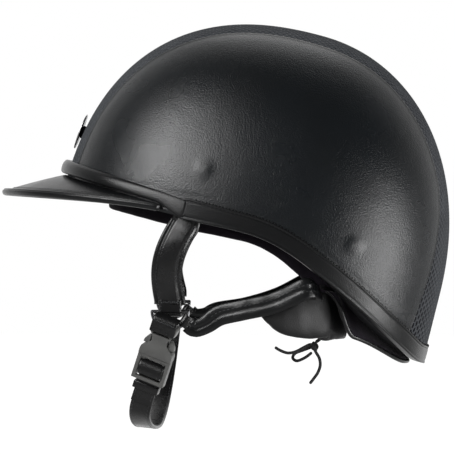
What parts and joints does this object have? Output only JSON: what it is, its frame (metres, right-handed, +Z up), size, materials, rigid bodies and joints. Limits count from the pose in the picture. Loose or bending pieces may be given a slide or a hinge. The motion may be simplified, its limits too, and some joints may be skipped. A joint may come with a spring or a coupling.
{
  "type": "riding helmet",
  "caption": "Peaked riding helmet with leatherette side covers, a central mesh panel, a padded harness laced at the nape and a chin strap with a side-release buckle.",
  "frame": {"origin": "centre of the head opening, inside the dome", "axes": "-X the way the face looks, -Y the wearer's left, +Z up; the dome is turned back about Y so that its front is raised, as the helmet hangs in the picture"},
  "size_m": [0.3185, 0.212, 0.287],
  "materials": {
    "leather_cover": "soft sheen, fine grain",
    "spacer_mesh": "matt open mesh",
    "lining": "soft brushed knit",
    "shell": "matt",
    "foam": "matt beaded foam",
    "metal": "dark nickel, satin",
    "webbing": "woven, slight sheen",
    "lace": "round braid",
    "buckle": "moulded, satin to gloss"
  },
  "bodies": {
    "helmet": {"outer_shell": "shell", "foam_liner": "foam", "cover_left": "leather_cover", "cover_right": "leather_cover", "mesh_panel": "spacer_mesh", "rim_band": "leather_cover", "front_band": "leather_cover", "peak": "leather_cover", "peak_binding": "leather_cover", "headband": "lining", "nape_lining": "lining", "crown_pad": "lining", "anchor_rivets": "metal", "front_tabs": "webbing", "rear_tabs": "webbing", "front_strap_left": "leather_cover", "front_strap_right": "leather_cover", "strap_folds": "webbing", "ring_left": "metal", "ring_right": "metal", "rear_strap_left": "leather_cover", "rear_strap_right": "leather_cover", "rear_loops": "webbing", "nape_pad_left": "leather_cover", "nape_pad_right": "leather_cover", "lace_tabs": "leather_cover", "eyelets": "metal", "nape_lace": "lace", "lace_knot": "lace", "lace_bow": "lace", "lace_end_front": "lace", "lace_end_down": "lace"},
    "chin": {"socket_loop": "webbing", "buckle_socket": "buckle", "far_loop": "webbing", "chin_strap": "webbing"},
    "plug": {"buckle_plug": "buckle", "strap_tail": "webbing"},
    "prong_front": {"prong_front": "buckle"},
    "prong_rear": {"prong_rear": "buckle"},
    "keeper": {"strap_keeper": "webbing"}
  },
  "joints": [
    {"name": "chin_swing", "type": "hinge", "parent": "helmet", "child": "chin", "pos_m": [-0.059, -0.083, -0.041], "axis": [-0.0781, 0.9969, 0], "range_deg": [-8, 24]},
    {"name": "buckle_release", "type": "slide", "parent": "chin", "child": "plug", "axis": [-0.3178, 0.2178, -0.9228], "range_m": [0, 0.022], "deforming": ["chin_strap", "prong_front", "prong_rear"]},
    {"name": "squeeze_front", "type": "hinge", "parent": "plug", "child": "prong_front", "pos_m": [-0.07612, -0.08491, -0.07056], "axis": [0.1959, 0.9673, 0.1608], "range_deg": [0, 9], "stiffness_Nm_per_rad": 0.02},
    {"name": "squeeze_rear", "type": "hinge", "parent": "plug", "child": "prong_rear", "pos_m": [-0.06239, -0.08683, -0.07575], "axis": [-0.1959, -0.9673, -0.1608], "range_deg": [0, 9], "stiffness_Nm_per_rad": 0.02},
    {"name": "keeper_slide", "type": "slide", "parent": "plug", "child": "keeper", "axis": [-0.3178, 0.2178, -0.9228], "range_m": [-0.0015, 0.006]}
  ],
  "couplings": [
    {"joint": "squeeze_rear", "follows": "squeeze_front", "ratio": 1}
  ]
}
